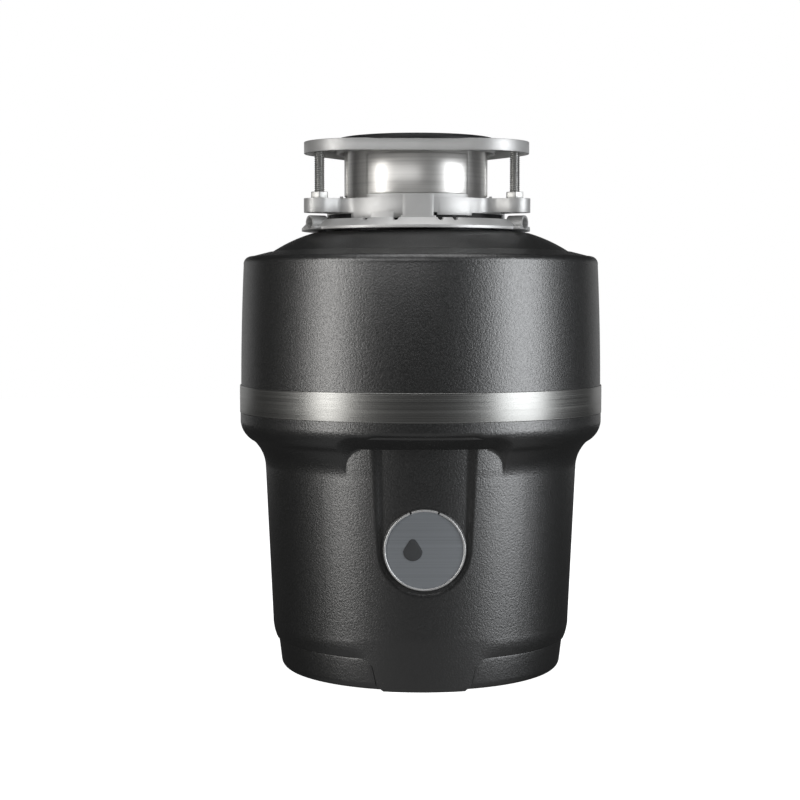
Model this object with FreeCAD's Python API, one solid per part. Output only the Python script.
import FreeCAD, Part
import math
import os

from FreeCAD import Vector

# Kitchen garbage disposal with a three-bolt quick-lock sink mount.
# Millimetres, +Z up. The origin is on the motor axis in the plane of the base, and the front faces -Y.

# Driving dimensions
SHELL_X = 3.0             # the trim shells sit this far to +X of the motor axis
SKIN = 2.5                # wall of the moulded shells
BAND_R = 114.2
BAND_Z = (161.1, 178.5)
BAND_SKIN = 1.2
LAP_Z = 169.8             # the two shells meet behind the band
SHOULDER_R = 113.4        # upper shell just above the band
OPENING_R = 64.0          # opening in the dome, round the chamber collar
DOME_Z = 273.6
CAP_Z = 19.5              # seam between the lower shell and the bottom cap
CAP_R = 89.9
CAP_LIP_R = 88.2          # lip of the cap, inside the lower shell
TAPER_LOW = (93.7, 31.0)  # radius and height of the two ends of the straight taper
TAPER_HIGH = (98.2, 128.0)
TAPER_TOP_Z = 146.0       # the taper runs up to here inside the front pocket

BADGE_Z = 85.6
BADGE_R = 24.0
RECESS_DEPTH = 1.8
RECESS_HALF = 28.0        # half width of the front recess at its top
RECESS_LOW_HALF = 27.2    # radius of its round lower end, centred on the badge
TONGUE_HALF = 32.0
TONGUE_LOW_HALF = 26.0
TONGUE_BACK_R = 86.8

SHAFT_R = 8.0
SHAFT_TOP_R = 5.0
RUNNING = 0.05            # radial play of a running fit
CLEAR = 0.4               # gap between bodies that pass each other

CHAMBER_R = 72.0
CHAMBER_WALL = 1.7
CHAMBER_Z = (160.0, 262.0)
NECK_R = 57.0
COLLAR_R = 64.0
COLLAR_Z = (276.9, 278.4)

OUTLET_Z = 132.0
OUTLET_R = 16.5
OUTLET_Y = 118.0
OUTLET_BOLT_SPACING = 60.0
OUTLET_BOLT_R = 3.3

INLET_Z = 225.0
INLET_R = 11.0
INLET_BORE_R = 8.0
INLET_DEG = 125.0
INLET_STEP = 112.5        # the nipple is narrower from here out
INLET_REACH = 131.0

PLATE_Z = (164.0, 167.0)  # turntable
PLATE_R = 62.5
GRIND_R = 63.5
LUG_PIVOT_R = 38.0
LUG_REACH = 22.6
RIVET_R = 5.0

STATOR_R = 70.0
STATOR_BORE_R = 37.0
STATOR_Z = (38.0, 80.0)
SLOTS = 24
BOLT_R = 2.5
BOLT_CIRCLE_R = 65.5

FLANGE_R = 44.4           # throat of the sink flange, for a 3 1/2 in sink opening
THROAT_WALL = 1.4
THROAT_Z = (279.0, 330.8)
HUB_R = 56.0
HUB_Z = (284.5, 293.7)
EAR_R = 69.0              # screw circle of the sink mount
EAR_HALF = 9.6
BACKUP_Z = (321.8, 329.0)
LOBE_R = 35.5
LOBE_CENTRE_R = 39.5
SCREW_R = 3.15
SCREW_Z = (285.6, 326.4)
RING_Z = (274.9, 276.5)
RING_R = 72.0
ARCH_R = 4.8
ARCH_BORE_R = 3.5
ARCH_REACH = 76.0
ARCH_Z = 278.6

RESET_X = 32.0            # reset button, in the base
RESET_Y = -32.0

EARS = (90.0, 210.0, 330.0)
TABS = (30.0, 150.0, 270.0)


# ---------- building blocks ----------

def polar(radius, degrees, z=0.0):
    turn = math.radians(degrees)
    return Vector(radius * math.cos(turn), radius * math.sin(turn), z)


def cylinder(radius, z0, z1, x=0.0, y=0.0):
    return Part.makeCylinder(radius, z1 - z0, Vector(x, y, z0))


def tube(outer, inner, z0, z1, x=0.0, y=0.0):
    return cylinder(outer, z0, z1, x, y).cut(cylinder(inner, z0 - 1, z1 + 1, x, y))


def block(x0, x1, y0, y1, z0, z1):
    return Part.makeBox(x1 - x0, y1 - y0, z1 - z0, Vector(x0, y0, z0))


def sector(outer, inner, z0, z1, middle, half):
    """Part of a tube, from middle - half to middle + half degrees."""
    wedge = Part.makeCylinder(outer, z1 - z0, Vector(0, 0, z0), Vector(0, 0, 1), 2 * half)
    return turned(wedge, middle - half).cut(cylinder(inner, z0 - 1, z1 + 1))


def turned(shape, degrees):
    return shape.rotated(Vector(0, 0, 0), Vector(0, 0, 1), degrees)


def radial_rod(radius, start, end, degrees, z):
    return Part.makeCylinder(radius, end - start, polar(start, degrees, z), polar(1, degrees))


def fused(shapes):
    return shapes[0].multiFuse(shapes[1:]).removeSplitter()


def wire(place, start, *steps):
    """Closed wire; a step is a point for a line, or a pair (middle, end) for an arc."""
    edges = []
    here = start
    for step in steps + (start,):
        if isinstance(step[0], tuple):
            middle, end = step
            edges.append(Part.Arc(place(here), place(middle), place(end)).toShape())
        else:
            end = step
            if end != here:
                edges.append(Part.LineSegment(place(here), place(end)).toShape())
        here = end
    return Part.Wire(edges)


def lathe(x, start, *steps):
    """Solid of revolution about the vertical axis at x; points are (radius, height)."""
    profile = wire(lambda p: Vector(x + p[0], 0, p[1]), start, *steps)
    return Part.Face(profile).revolve(Vector(x, 0, 0), Vector(0, 0, 1), 360)


def prism(z0, z1, start, *steps):
    """Upright solid over a plan outline; points are (x, y)."""
    return Part.Face(wire(lambda p: Vector(p[0], p[1], z0), start, *steps)).extrude(Vector(0, 0, z1 - z0))


def front_prism(y0, y1, start, *steps):
    """Solid over an outline in the front view; points are (x, z) about the shells' centre."""
    outline = wire(lambda p: Vector(SHELL_X + p[0], y0, p[1]), start, *steps)
    return Part.Face(outline).extrude(Vector(0, y1 - y0, 0))


def hexagon(flats, z0, z1, x=0.0, y=0.0, turn=0.0):
    corner = flats / 2 / math.cos(math.radians(30))
    points = []
    for side in range(6):
        p = polar(corner, turn + 60 * side)
        points.append((x + p.x, y + p.y))
    return prism(z0, z1, *points)


def filleted(shape, radius, wanted):
    """Round the edges that pass the test."""
    edges = [edge for edge in shape.Edges if wanted(edge)]
    return shape.makeFillet(radius, edges)


def upright_edge_near(radius, tolerance=0.6):
    def test(edge):
        first, last = edge.Vertexes[0].Point, edge.Vertexes[-1].Point
        if abs(first.z - last.z) < 1 or math.hypot(first.x - last.x, first.y - last.y) > 0.01:
            return False
        return abs(math.hypot(first.x, first.y) - radius) < tolerance
    return test


# ---------- outer shells ----------

def taper_radius(z):
    slope = (TAPER_HIGH[0] - TAPER_LOW[0]) / (TAPER_HIGH[1] - TAPER_LOW[1])
    return TAPER_LOW[0] + slope * (z - TAPER_LOW[1])


def taper_solid(inset, z0, z1):
    """Solid cone inside the straight taper, extended to the given heights."""
    return lathe(SHELL_X, (0, z0), (taper_radius(z0) - inset, z0), (taper_radius(z1) - inset, z1), (0, z1))


def upper_solid(inset):
    """Upper shell outline, moved in by the inset, down to the middle of the band."""
    r = -inset
    seam = BAND_Z[1] if inset == 0 else LAP_Z
    return lathe(SHELL_X, (0, seam), (SHOULDER_R + r, seam),
                 ((112.8 + r, 218.0), (111.5 + r, 253.6)),
                 ((110.6 + r, 257.2 + r / 2), (106.3 + r, 258.9 + r)),
                 (94.2 + r / 2, 261.9 + r), (93.3 + r / 2, 261.8 + r), (92.3 + r / 2, 262.5 + r),
                 ((80.5 + r / 3, 268.9 + r), (67.8, DOME_Z + r)), (0, DOME_Z + r))


def upper_trim_shell():
    skirt = cylinder(BAND_R - BAND_SKIN, LAP_Z + 0.4, BAND_Z[1], SHELL_X)
    shell = fused([upper_solid(0), skirt]).cut(upper_solid(SKIN))
    shell = shell.cut(cylinder(OPENING_R, 260, 280))
    return shell.cut(radial_rod(INLET_R + 1.5, 90, 140, INLET_DEG, INLET_Z))


def trim_band():
    return tube(BAND_R, BAND_R - BAND_SKIN, BAND_Z[0], BAND_Z[1], SHELL_X)


def lower_solid(inset):
    r = -inset
    return lathe(SHELL_X, (0, CAP_Z), (91.4 + r, CAP_Z),
                 ((92.9 + r, 24.0), (TAPER_LOW[0] + r, TAPER_LOW[1])), (TAPER_HIGH[0] + r, TAPER_HIGH[1]),
                 ((100.6 + r, 136.6), (105.6 + r, 143.4)), ((111.2 + r, 148.2), (113.9 + r, 155.4)),
                 (113.9 + r, BAND_Z[0]), (0, BAND_Z[0]))


def pocket_tool(grow):
    """What the front pocket removes from the flare, above the straight taper."""
    half = 49.0 + grow
    top = TAPER_TOP_Z + grow
    corner = 10.0
    bevel = corner * (1 - math.cos(math.radians(45)))
    front = front_prism(-130, -60, (-half, 110), (half, 110), (half, top - corner),
                        ((half - bevel, top - bevel), (half - corner, top)), (corner - half, top),
                        ((bevel - half, top - bevel), (-half, top - corner)))
    return front.cut(taper_solid(grow, 100, 160))


def recess_tool(grow):
    """What the U-shaped recess removes from the front wall, round the badge."""
    top = TAPER_TOP_Z + grow
    half = RECESS_HALF + grow
    low = RECESS_LOW_HALF + grow
    front = front_prism(-130, -60, (-half, top), (-low, BADGE_Z),
                        ((0, BADGE_Z - low), (low, BADGE_Z)), (half, top))
    return front.cut(taper_solid(RECESS_DEPTH + grow, 40, 160))


def tongue(inset, z0, top):
    """Front tongue of the lower shell, which runs down over the bottom cap."""
    half = TONGUE_HALF + inset
    low = TONGUE_LOW_HALF + inset
    front = front_prism(-130, -60, (-low, z0), (low, z0), (half, 9.0), (half, top),
                        (-half, top), (-half, 9.0))
    body = lathe(SHELL_X, (0, z0), (89.7 + inset, z0), (91.2 + inset, 12.0),
                 (taper_radius(27.0) + inset, 27.0), (taper_radius(top) + inset, top), (0, top))
    return front.common(body)


def badge_place():
    """Centre of the badge's back face, and the direction that it faces."""
    lean = math.atan((TAPER_HIGH[0] - TAPER_LOW[0]) / (TAPER_HIGH[1] - TAPER_LOW[1]))
    out = Vector(0, -math.cos(lean), -math.sin(lean))
    return Vector(SHELL_X, -(taper_radius(BADGE_Z) - RECESS_DEPTH) - 0.6, BADGE_Z), out


def badge_disc(radius, near, far, across=0.0):
    place, out = badge_place()
    start = place + out * near + Vector(across, 0, 0)
    return Part.makeCylinder(radius, far - near, start, out)


def lower_trim_shell():
    outer = lower_solid(0).cut(pocket_tool(0)).cut(recess_tool(0))
    outer = fused([outer, badge_disc(BADGE_R + 0.6, -6, 0), tongue(0, 0, 60.0).cut(recess_tool(0))])
    inner = lower_solid(SKIN).cut(pocket_tool(SKIN)).cut(recess_tool(SKIN))
    inner = inner.cut(badge_disc(BADGE_R, -20, -SKIN))
    lip = tube(BAND_R - BAND_SKIN, SHOULDER_R - SKIN, BAND_Z[0] - 0.5, LAP_Z, SHELL_X)
    shell = fused([outer.cut(inner).cut(cylinder(TONGUE_BACK_R, -1, CAP_Z + 0.1, SHELL_X)), lip])
    back_window = block(-42, 42, 60, 130, OUTLET_Z - 23, OUTLET_Z + 23)
    return shell.cut(back_window)


def bottom_cap():
    outer = lathe(SHELL_X, (0, 0), (82.0, 0), ((86.7, 1.2), (88.4, 4.8)), (CAP_R, 17.0), (CAP_R, CAP_Z - 0.3),
                  (CAP_LIP_R, CAP_Z - 0.3), (CAP_LIP_R, 24.5), (0, 24.5))
    inner = lathe(SHELL_X, (0, SKIN), (80.5, SKIN), ((84.2, 3.6), (85.7, 6.6)), (85.7, 30), (0, 30))
    notch = tongue(0.5, -1, 40.0).cut(cylinder(TONGUE_BACK_R - 0.5, -2, 50, SHELL_X))
    cap = outer.cut(inner).cut(notch)
    for tool in (cylinder(8.0, -1, 5), cylinder(11.1, -1, 5, 48, 44), cylinder(6.0, -1, 5, RESET_X, RESET_Y),
                 block(-34, 22, 36, 66, -1, 1.2), block(-31, 19, 39, 63, -1, 5)):
        cap = cap.cut(tool)
    return cap.cut(cylinder(1.6, -1, 5, -32.5, 51))


def badge_rim():
    ring = badge_disc(BADGE_R, 0, 2.6).cut(badge_disc(BADGE_R - 1.2, -1, 4))
    place, _ = badge_place()
    notch = block(SHELL_X - 9, SHELL_X + 9, place.y - 5, place.y + 5, BADGE_Z + 15, BADGE_Z + 30)
    return ring.cut(notch)


def badge_face():
    return badge_disc(BADGE_R - 1.2, 0, 1.8).cut(badge_disc(8.0, 1.4, 3, -7.0))


def badge_motif():
    return badge_disc(8.0, 1.4, 2.1, -7.0)


# ---------- sink mount ----------

def sink_flange():
    throat = [cylinder(FLANGE_R, THROAT_Z[0], THROAT_Z[1]), cylinder(47.2, THROAT_Z[1] - 0.1, 332.0)]
    for middle in TABS:
        throat.append(sector(FLANGE_R + 0.7, 40, 296.6, 321.0, middle, 44))
    bore = FLANGE_R - THROAT_WALL
    return fused(throat).cut(cylinder(bore, 270, 340))


def sink_gasket():
    return lathe(0, (FLANGE_R + 0.2, BACKUP_Z[1]), (51.0, BACKUP_Z[1]), ((50.4, 331.4), (47.5, 332.6)),
                 (47.5, THROAT_Z[1] - 0.1), (FLANGE_R + 0.2, THROAT_Z[1] - 0.1))


def lobed_prism(inset, z0, z1):
    """Prism over the rounded triangle of the upper mount plate."""
    r = LOBE_R - inset
    steps = []
    for ear in EARS:
        centre = polar(LOBE_CENTRE_R, ear)
        ends = [centre + polar(r, ear + turn) for turn in (-60, 0, 60)]
        first, middle, last = [(p.x, p.y) for p in ends]
        steps += [first, (middle, last)]
    return prism(z0, z1, *steps)


def backup_flange():
    plate = lobed_prism(0, *BACKUP_Z).cut(lobed_prism(2.0, BACKUP_Z[0] - 1, BACKUP_Z[1] - 3.0))
    collar = cylinder(50.0, BACKUP_Z[0] + 1.2, BACKUP_Z[1] - 1)
    plate = fused([plate, collar]).cut(cylinder(48.5, 310, 340))
    dip_r = 400.0
    for flat in TABS:
        saddle = Part.makeCylinder(dip_r, 30, polar(51.3, flat, BACKUP_Z[1] - 1.2 + dip_r), polar(1, flat))
        plate = plate.cut(saddle)
    for ear in EARS:
        p = polar(EAR_R, ear)
        plate = plate.cut(cylinder(SCREW_R + 0.2, 310, BACKUP_Z[1] - 1.0, p.x, p.y))
    return plate


def mounting_screws():
    screws = []
    for ear in EARS:
        p = polar(EAR_R, ear)
        shank = cylinder(SCREW_R, *SCREW_Z, p.x, p.y)
        slot = turned(block(-4, 4, -0.6, 0.6, SCREW_Z[0] - 1, SCREW_Z[0] + 1.4), ear)
        slot = slot.translate(Vector(p.x, p.y, 0))
        screws.append(shank.cut(slot))
    return Part.makeCompound(screws)


def screw_locknuts():
    nuts = []
    for ear in EARS:
        p = polar(EAR_R, ear)
        nut = hexagon(10.0, HUB_Z[1], HUB_Z[1] + 4.0, p.x, p.y, ear)
        nuts.append(nut.cut(cylinder(SCREW_R + 0.05, 280, 300, p.x, p.y)))
    return Part.makeCompound(nuts)


def eared_prism(inset, z0, z1):
    """Prism over the hub and its three ears."""
    half = EAR_HALF - inset
    parts = [cylinder(HUB_R - inset, z0, z1)]
    for ear in EARS:
        p = polar(EAR_R, ear)
        parts.append(turned(block(30, EAR_R, -half, half, z0, z1), ear))
        parts.append(cylinder(half, z0, z1, p.x, p.y))
    corner_r = math.hypot(math.sqrt((HUB_R - inset) ** 2 - half ** 2), half)
    return filleted(fused(parts), 9.0 + inset, upright_edge_near(corner_r))


def mounting_ring():
    rim_z = HUB_Z[0] + 0.6
    shell = eared_prism(0, rim_z, HUB_Z[1]).cut(eared_prism(1.6, rim_z - 1, HUB_Z[1] - 1.8))
    parts = [shell, tube(HUB_R, HUB_R - 1.2, HUB_Z[0], HUB_Z[1])]
    for tab in TABS:
        parts.append(sector(HUB_R, HUB_R - 1.2, 281.2, 291.0, tab - 20.5, 25.5))
        ramp = sector(HUB_R, HUB_R - 1.2, 283.0, 291.0, tab + 24.0, 12.0)
        parts.append(ramp)
        parts.append(sector(48.0, 46.5, HUB_Z[1] - 1, HUB_Z[1] + 2.7, tab, 40))
    for ear in EARS:
        p = polar(EAR_R, ear)
        parts.append(cylinder(6.0, rim_z, HUB_Z[1], p.x, p.y))
    ring = fused(parts).cut(cylinder(46.5, 270, 300))
    for ear in EARS:
        p = polar(EAR_R, ear)
        ring = ring.cut(cylinder(SCREW_R + 0.05, 270, 300, p.x, p.y))
    return ring


def snap_ring():
    wire_r = 1.7
    centre = Vector(0, 0, HUB_Z[1] - 1.8 - wire_r)
    ring = Part.makeTorus(46.95, wire_r, centre, Vector(0, 0, 1), -180, 180, 335)
    return turned(ring, 100)


def dished_ring():
    """Bayonet ring, which hangs under the chamber collar and turns to lock on the hub."""
    wall = lathe(0, (COLLAR_R + CLEAR, RING_Z[0]), (RING_R, RING_Z[0]), (RING_R, RING_Z[1]), (67.6, 281.0),
                 (COLLAR_R + CLEAR, 281.0))
    base = tube(RING_R - 2, NECK_R + 2, *RING_Z)
    parts = [wall, base]
    for tab in TABS:
        parts.append(sector(66.0, HUB_R + 0.6, 280.5, 282.0, tab, 9.2))
        parts.append(sector(HUB_R + 2.1, HUB_R + 0.6, 280.5, 295.5, tab, 9.2))
        parts.append(sector(HUB_R + 2.1, 50.5, HUB_Z[1] + 0.5, 295.5, tab, 9.2))
        parts.append(sector(66.8, COLLAR_R + 0.6, 280.0, 284.4, tab - 19, 6))
    ring = fused(parts)
    for tab in TABS:
        for turn in (-28.0, -11.5, 11.2, 19.0):
            ring = ring.cut(radial_rod(1.8, 60, 80, tab + turn, 281.0))
    return ring


def ring_arches():
    """Rolled arches on the bayonet ring, for the turning key, and the holes through them."""
    arches = []
    holes = []
    for ear in EARS:
        arch = radial_rod(ARCH_R, 65.5, ARCH_REACH, ear, ARCH_Z)
        foot = turned(block(65.5, ARCH_REACH, -7.0, 7.0, *RING_Z), ear)
        above_base = turned(block(60, 80, -8, 8, RING_Z[0], 290), ear)
        arches.append(fused([arch, foot]).common(above_base))
        holes.append(radial_rod(ARCH_BORE_R, 60, 80, ear, ARCH_Z))
    return arches, holes


def lower_mounting_ring():
    arches, holes = ring_arches()
    ring = fused([dished_ring()] + arches)
    for hole in holes:
        ring = ring.cut(hole)
    return ring


def mounting_gasket():
    return lathe(0, (41.0, 262.0), (NECK_R - 1.7, 262.0), (NECK_R - 1.7, COLLAR_Z[1]),
                 (62.0, COLLAR_Z[1]), (62.0, 280.0), (54.3, 280.0), (54.3, 284.4), (49.0, 284.4),
                 (49.0, THROAT_Z[0]), (41.0, THROAT_Z[0]))


def splash_baffle():
    outer = FLANGE_R - THROAT_WALL - CLEAR
    cup = tube(outer, outer - 1.8, THROAT_Z[0] + CLEAR, 303.0)
    diaphragm = lathe(0, (3.0, 281.0), (outer - 0.5, 284.5), (outer - 0.5, 286.3), (3.0, 283.0))
    for turn in range(8):
        diaphragm = diaphragm.cut(turned(block(0, 36, -0.4, 0.4, 275, 290), 45 * turn + 22.5))
    lip = tube(outer, outer - 3.2, 301.5, 303.0)
    return fused([cup, diaphragm, lip])


# ---------- grind chamber ----------

def grind_chamber():
    """Container with its collar, and a hole for the dishwasher inlet at the back left."""
    low, top = CHAMBER_Z
    outer = lathe(0, (0, low), (77.0, low), (77.0, low + 2.0), (CHAMBER_R, low + 2.0),
                  (CHAMBER_R, 252.0), ((68.5, 258.8), (NECK_R + 3, top)), (NECK_R, top + 3.0),
                  (NECK_R, COLLAR_Z[0]), (COLLAR_R, COLLAR_Z[0]), (COLLAR_R, COLLAR_Z[1]), (0, COLLAR_Z[1]))
    wall = CHAMBER_WALL
    inner = lathe(0, (0, 150), (CHAMBER_R - wall, 150), (CHAMBER_R - wall, 252.0 - wall / 2),
                  ((67.3, 257.4), (NECK_R + 2.2, CHAMBER_Z[1] - wall)), (NECK_R - 1.5, CHAMBER_Z[1] + 2.0),
                  (NECK_R - 1.5, 290), (0, 290))
    return outer.cut(inner).cut(radial_rod(INLET_BORE_R, 50, 90, INLET_DEG, INLET_Z))


def inlet_nipple():
    """Dishwasher inlet, from its flange on the container out through the shell."""
    flange = radial_rod(INLET_R + 4, 60, CHAMBER_R + 3, INLET_DEG, INLET_Z)
    neck = radial_rod(INLET_R + 1, 60, INLET_STEP, INLET_DEG, INLET_Z)
    nipple = radial_rod(INLET_R, INLET_STEP - 1, INLET_REACH, INLET_DEG, INLET_Z)
    body = fused([flange, neck, nipple]).cut(cylinder(CHAMBER_R + 0.02, 200, 250))
    return body.cut(radial_rod(INLET_BORE_R, 50, INLET_REACH + 5, INLET_DEG, INLET_Z))


def inlet_plug():
    return radial_rod(INLET_BORE_R - 0.02, CHAMBER_R - 0.5, CHAMBER_R + 2.0, INLET_DEG, INLET_Z)


def sound_insulation():
    foam = tube(104.0, CHAMBER_R + 3.5, 186.0, 250.0)
    return foam.cut(radial_rod(INLET_R + 4.5, 60, 130, INLET_DEG, INLET_Z))


def shredder_ring():
    ring = tube(CHAMBER_R - CHAMBER_WALL - 0.1, GRIND_R, 160.2, 184.0)
    lip = tube(75.0, GRIND_R, 158.2, 160.0)
    ring = fused([ring, tube(CHAMBER_R - CHAMBER_WALL - 0.1, GRIND_R, 159.9, 160.4), lip])
    for number in range(20):
        turn = 18.0 * number
        ring = ring.cut(turned(block(GRIND_R - 2, GRIND_R + 3.2, -2.2, 2.2, 170.5, 181.0), turn))
        ring = ring.cut(turned(block(GRIND_R - 2, GRIND_R + 3.2, -1.5, 1.5, 157.0, 166.5), turn + 9))
    return ring


def chamber_clamp():
    """Band clamp, which draws the chamber flange and the end bell rim together."""
    band = lathe(0, (77.3, 153.0), (79.8, 153.0), (79.8, 164.6), (73.0, 164.6), (73.0, 162.1), (77.3, 162.1))
    lugs = []
    for side in (-1, 1):
        lugs.append(block(79.0, 88.0, side * 6 - 1.25, side * 6 + 1.25, 154.0, 163.5))
    bolt = Part.makeCylinder(2.2, 22, Vector(84.2, -11, 158.8), Vector(0, 1, 0))
    head = Part.makeCylinder(4.0, 3, Vector(84.2, -14, 158.8), Vector(0, 1, 0))
    gap = block(70, 85, -4, 4, 150, 170)
    return fused([band.cut(gap)] + lugs + [bolt, head])


# ---------- rotor ----------

def rotor_shaft():
    main = cylinder(SHAFT_R, 4.0, PLATE_Z[0])
    flange = cylinder(12.5, 146.3, 148.5)
    stud = cylinder(SHAFT_TOP_R, PLATE_Z[0] - 1, 177.0)
    return fused([main, flange, stud]).cut(hexagon(6.5, 3.0, 15.0))


def turntable():
    plate = cylinder(PLATE_R, *PLATE_Z)
    tools = [cylinder(SHAFT_TOP_R + RUNNING, 150, 180)]
    for number in range(2):
        p = polar(LUG_PIVOT_R, 180 * number)
        tools.append(cylinder(RIVET_R + RUNNING, 150, 180, p.x, p.y))
    for number in range(12):
        p = polar(50.0 if number % 2 else 22.0, 30 * number + 15)
        tools.append(cylinder(2.6, 150, 180, p.x, p.y))
    for tool in tools:
        plate = plate.cut(tool)
    return plate


def undercutter_disc():
    disc = cylinder(59.0, 161.4, 163.2)
    teeth = []
    for number in range(8):
        teeth.append(turned(block(50, 62.0, -4, 4, 161.4, 163.2), 45 * number))
    disc = fused([disc] + teeth).cut(cylinder(SHAFT_R + RUNNING, 150, 180))
    for number in range(2):
        p = polar(LUG_PIVOT_R, 180 * number)
        disc = disc.cut(cylinder(RIVET_R + 2.6, 150, 180, p.x, p.y))
    return disc


def swivel_lug(side):
    """Grinding lug on its rivet, with a raised shoe at its outer end; side is 1 for +X, -1 for -X."""
    z0 = PLATE_Z[1] + CLEAR
    arm = fused([cylinder(9.5, z0, z0 + 5.0), block(0, 15, -8.0, 8.0, z0, z0 + 5.0)])
    shoe = block(13.0, LUG_REACH, -8.0, 8.0, z0, z0 + 15.0)
    lug = fused([arm, shoe]).common(cylinder(LUG_REACH, z0, z0 + 15.0))
    lug = lug.cut(cylinder(RIVET_R + RUNNING, 150, 190))
    lug = lug.translate(Vector(LUG_PIVOT_R, 0, 0))
    return lug if side > 0 else turned(lug, 180)


def lug_rivets():
    top = PLATE_Z[1] + 2 * CLEAR + 5.0
    rivets = []
    for number in range(2):
        p = polar(LUG_PIVOT_R, 180 * number)
        pin = cylinder(RIVET_R, PLATE_Z[0] - 0.1, top + 0.2, p.x, p.y)
        head = cylinder(8.0, top, top + 2.2, p.x, p.y)
        tail = cylinder(7.0, PLATE_Z[0] - 0.7, PLATE_Z[0], p.x, p.y)
        rivets.append(fused([pin, head, tail]))
    return Part.makeCompound(rivets)


def turntable_nut():
    washer = cylinder(11.0, PLATE_Z[1], PLATE_Z[1] + 1.5)
    nut = hexagon(16.0, PLATE_Z[1] + 1.5, PLATE_Z[1] + 8.0)
    return fused([washer, nut]).cut(cylinder(SHAFT_TOP_R + RUNNING, 150, 190))


def rotor_core():
    core = cylinder(STATOR_BORE_R - 0.5, *STATOR_Z)
    return core.cut(cylinder(SHAFT_R + 0.02, 30, 90))


def rotor_end_rings():
    """Cast end rings of the rotor cage, each with short fan blades."""
    rings = []
    for z0, z1, tip in ((31.0, 38.0, 26.0), (80.0, 87.0, 92.0)):
        ring = tube(STATOR_BORE_R - 1.5, 22.0, z0, z1)
        blades = []
        low, high = min(z0, tip), max(z1, tip)
        for number in range(8):
            blades.append(turned(block(24, STATOR_BORE_R - 3, -1, 1, low, high), 45 * number))
        rings.append(fused([ring] + blades))
    return Part.makeCompound(rings)


def centrifugal_actuator():
    """Spring-loaded weights on the shaft, which release the start switch at speed."""
    bore = SHAFT_R + 0.02
    spool = lathe(0, (bore, 24.4), (19.0, 24.4), (19.0, 25.6), (13.0, 25.6), (13.0, 29.6),
                  (18.0, 29.6), (18.0, 30.8), (bore, 30.8))
    weights = []
    for side in (0, 180):
        weights.append(turned(block(11.5, 18.0, -6, 6, 25.5, 29.7), side))
    return fused([spool] + weights)


def seal_spring():
    """Conical coil, which presses the rotating face of the shaft seal down."""
    helix = Part.makeHelix(3.2, 12.8, 11.0)
    section = Part.Wire(Part.makeCircle(0.7, Vector(11.0, 0, 0), Vector(0, 1, 0)))
    coil = Part.Wire(helix.Edges).makePipeShell([section], True, True)
    return coil.translate(Vector(0, 0, 132.5))


def seal_rotor():
    """Rotating half of the shaft seal."""
    return tube(13.0 - CLEAR, SHAFT_R + 0.02, 128.2 + CLEAR, 131.6)


# ---------- motor and end bell ----------

def bolt_places():
    return [polar(BOLT_CIRCLE_R, 45 + 90 * number) for number in range(4)]


def drain_chamber():
    """Upper end bell of the motor, which is also the drain bowl, with its outlet at the back."""
    bowl = lathe(0, (0, 104.0), (19.0, 104.0), (19.0, 112.0), (75.0, 112.0), ((77.3, 113.0), (78.0, 115.3)),
                 (78.0, 150.0), (77.0, 152.0), (77.0, 158.0), (0, 158.0))
    inner = lathe(0, (18.0, 130.0), (22.0, 116.5), (72.0, 115.5), ((74.6, 116.4), (75.4, 118.6)),
                  (75.4, 170), (0, 170), (0, 130))
    pipe = Part.makeCylinder(OUTLET_R + 2.5, OUTLET_Y - 60, Vector(0, 60, OUTLET_Z), Vector(0, 1, 0))
    plate = []
    half = OUTLET_BOLT_SPACING / 2
    plate.append(Part.makeCylinder(20.0, 5.0, Vector(0, OUTLET_Y - 5, OUTLET_Z), Vector(0, 1, 0)))
    for side in (-1, 1):
        centre = Vector(side * half, OUTLET_Y - 5, OUTLET_Z)
        plate.append(Part.makeCylinder(8.0, 5.0, centre, Vector(0, 1, 0)))
    plate.append(block(-half, half, OUTLET_Y - 5, OUTLET_Y, OUTLET_Z - 8, OUTLET_Z + 8))
    body = fused([bowl, pipe] + plate).cut(inner)
    tools = [Part.makeCylinder(OUTLET_R, OUTLET_Y - 40, Vector(0, 50, OUTLET_Z), Vector(0, 1, 0)),
             cylinder(13.0, 100, 140)]
    for side in (-1, 1):
        centre = Vector(side * half, OUTLET_Y - 8, OUTLET_Z)
        tools.append(Part.makeCylinder(OUTLET_BOLT_R, 10, centre, Vector(0, 1, 0)))
    for p in bolt_places():
        tools.append(cylinder(BOLT_R + 0.02, 110, 116.0, p.x, p.y))
    for tool in tools:
        body = body.cut(tool)
    return body


def outlet_gasket():
    back = Vector(0, OUTLET_Y, OUTLET_Z)
    ring = Part.makeCylinder(19.0, 1.6, back, Vector(0, 1, 0))
    return ring.cut(Part.makeCylinder(OUTLET_R, 5, back - Vector(0, 1, 0), Vector(0, 1, 0)))


def shaft_seal():
    """Fixed half of the shaft seal, in the top of the bearing hub."""
    return tube(13.0, SHAFT_R + CLEAR, 124.0, 128.2)


def sleeve_bearing(z0, z1):
    return tube(13.0, SHAFT_R + RUNNING, z0, z1)


def stator_core():
    core = cylinder(STATOR_R, *STATOR_Z).cut(cylinder(STATOR_BORE_R, 30, 90))
    for number in range(SLOTS):
        turn = 360.0 / SLOTS * number
        slot = fused([block(STATOR_BORE_R + 2.5, 58.0, -2.4, 2.4, 30, 90), block(30, 45, -0.9, 0.9, 30, 90)])
        core = core.cut(turned(slot, turn))
    for p in bolt_places():
        core = core.cut(cylinder(BOLT_R + 0.02, 30, 90, p.x, p.y))
    return core


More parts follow.
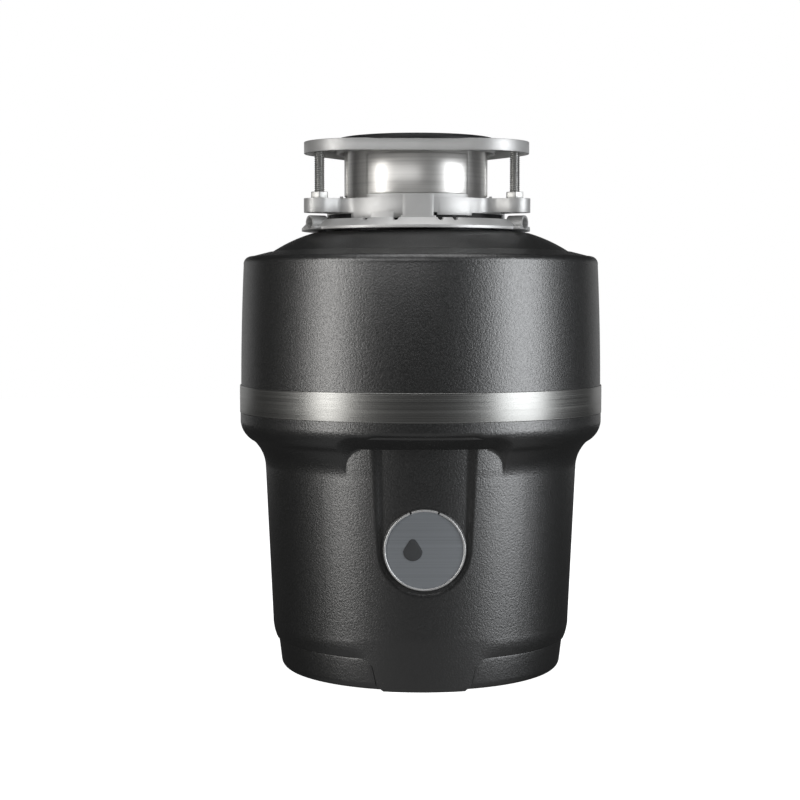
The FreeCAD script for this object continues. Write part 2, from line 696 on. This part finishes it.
def stator_windings():
    """Coils in the slots and their end turns, which are bound into a rounded ring at each end."""
    parts = []
    for z0, z1 in ((21.0, 37.0), (81.0, 97.0)):
        ring = tube(59.0, 41.0, z0, z1)
        parts.append(filleted(ring, 5.0, lambda edge: edge.Curve.TypeId == "Part::GeomCircle"))
    for number in range(SLOTS):
        turn = 360.0 / SLOTS * number
        parts.append(turned(block(STATOR_BORE_R + 7.5, 56.5, -2.1, 2.1, 34, 84), turn))
    return fused(parts)


def lower_end_frame():
    """Lower end bell, with the bearing hub on four arms and a rim that seats the stator."""
    plate = lathe(0, (0, 15.0), (77.0, 15.0), (77.0, 17.5), (73.0, 17.5), (73.0, 42.0), (STATOR_R, 42.0),
                  (STATOR_R, 38.0), (71.0, 38.0), (71.0, 17.8), (0, 17.8))
    hub = cylinder(17.0, 10.0, 23.5)
    frame = fused([plate, hub]).cut(cylinder(13.0, 11.4, 30)).cut(cylinder(SHAFT_R + 1, 0, 30))
    for number in range(4):
        frame = frame.cut(sector(60.0, 26.0, 10, 20, 90 * number, 26))
    for p in bolt_places():
        frame = frame.cut(cylinder(BOLT_R + 0.02, 10, 20, p.x, p.y))
    return frame


def through_bolts():
    bolts = []
    for p in bolt_places():
        head = hexagon(8.0, 11.5, 15.0, p.x, p.y)
        bolts.append(fused([head, cylinder(BOLT_R, 14.9, 115.4, p.x, p.y)]))
    return Part.makeCompound(bolts)


# ---------- electrical parts ----------

def run_capacitor():
    can = cylinder(9.4, 32.0, 92.0, 82.6, 0)
    neck = cylinder(8.8, 91.9, 94.0, 82.6, 0)
    tags = []
    for side in (-1, 1):
        tags.append(block(79.6, 85.6, side * 3.5 - 0.4, side * 3.5 + 0.4, 93.9, 100))
    return fused([can, neck] + tags)


def start_switch():
    base = block(20.0, 38.0, -9.0, 9.0, 19.5, 22.5)
    tower = block(28.0, 38.0, -6.0, 6.0, 18.0, 20.0)
    return fused([base, tower]).cut(cylinder(19.5, 10, 30))


def overload_protector():
    case = block(RESET_X - 9, RESET_X + 9, RESET_Y - 9, RESET_Y + 9, 4.6, 13.5)
    return case.cut(cylinder(4.2, 0, 11.5, RESET_X, RESET_Y)).cut(cylinder(6.2, 0, 6.6, RESET_X, RESET_Y))


def reset_button():
    cap = cylinder(5.4, 0.8, 3.6, RESET_X, RESET_Y)
    stem = cylinder(3.6, 3.5, 8.6, RESET_X, RESET_Y)
    return filleted(fused([cap, stem]), 0.8, lambda edge: edge.BoundBox.ZMax < 0.9)


def terminal_box():
    """Cover over the wiring compartment, flush with the base."""
    plate = block(-33.7, 21.7, 36.3, 65.7, 0.0, 1.2).cut(cylinder(1.7, -1, 5, -32.5, 51))
    skirt = block(-30.6, 18.6, 39.4, 62.6, 1.1, 5.5).cut(block(-29.1, 17.1, 40.9, 61.1, 1.1, 8))
    return fused([plate, skirt])


def terminal_screw():
    return cylinder(1.55, 0.2, 7.0, -32.5, 51)


PARTS = {
    "sink_flange": sink_flange,
    "sink_gasket": sink_gasket,
    "backup_flange": backup_flange,
    "mounting_screws": mounting_screws,
    "screw_locknuts": screw_locknuts,
    "mounting_ring": mounting_ring,
    "snap_ring": snap_ring,
    "lower_mounting_ring": lower_mounting_ring,
    "mounting_gasket": mounting_gasket,
    "splash_baffle": splash_baffle,
    "upper_trim_shell": upper_trim_shell,
    "trim_band": trim_band,
    "lower_trim_shell": lower_trim_shell,
    "bottom_cap": bottom_cap,
    "badge_rim": badge_rim,
    "badge_face": badge_face,
    "badge_motif": badge_motif,
    "sound_insulation": sound_insulation,
    "grind_chamber": grind_chamber,
    "inlet_nipple": inlet_nipple,
    "inlet_plug": inlet_plug,
    "shredder_ring": shredder_ring,
    "chamber_clamp": chamber_clamp,
    "turntable": turntable,
    "undercutter_disc": undercutter_disc,
    "swivel_lug_a": lambda: swivel_lug(1),
    "swivel_lug_b": lambda: swivel_lug(-1),
    "lug_rivets": lug_rivets,
    "turntable_nut": turntable_nut,
    "rotor_shaft": rotor_shaft,
    "rotor_core": rotor_core,
    "rotor_end_rings": rotor_end_rings,
    "centrifugal_actuator": centrifugal_actuator,
    "seal_spring": seal_spring,
    "seal_rotor": seal_rotor,
    "shaft_seal": shaft_seal,
    "drain_chamber": drain_chamber,
    "outlet_gasket": outlet_gasket,
    "upper_bearing": lambda: sleeve_bearing(101.0, 123.9),
    "lower_bearing": lambda: sleeve_bearing(11.5, 23.5),
    "stator_core": stator_core,
    "stator_windings": stator_windings,
    "lower_end_frame": lower_end_frame,
    "through_bolts": through_bolts,
    "run_capacitor": run_capacitor,
    "start_switch": start_switch,
    "overload_protector": overload_protector,
    "reset_button": reset_button,
    "terminal_cover": terminal_box,
    "terminal_screw": terminal_screw,
}

os.makedirs("parts", exist_ok=True)
for name, make in PARTS.items():
    shape = make()
    solids = len(shape.Solids)
    print(f"{name}: {solids} solids, valid {shape.isValid()}, volume {shape.Volume:.0f}")
    shape.exportStep(f"parts/{name}.step")
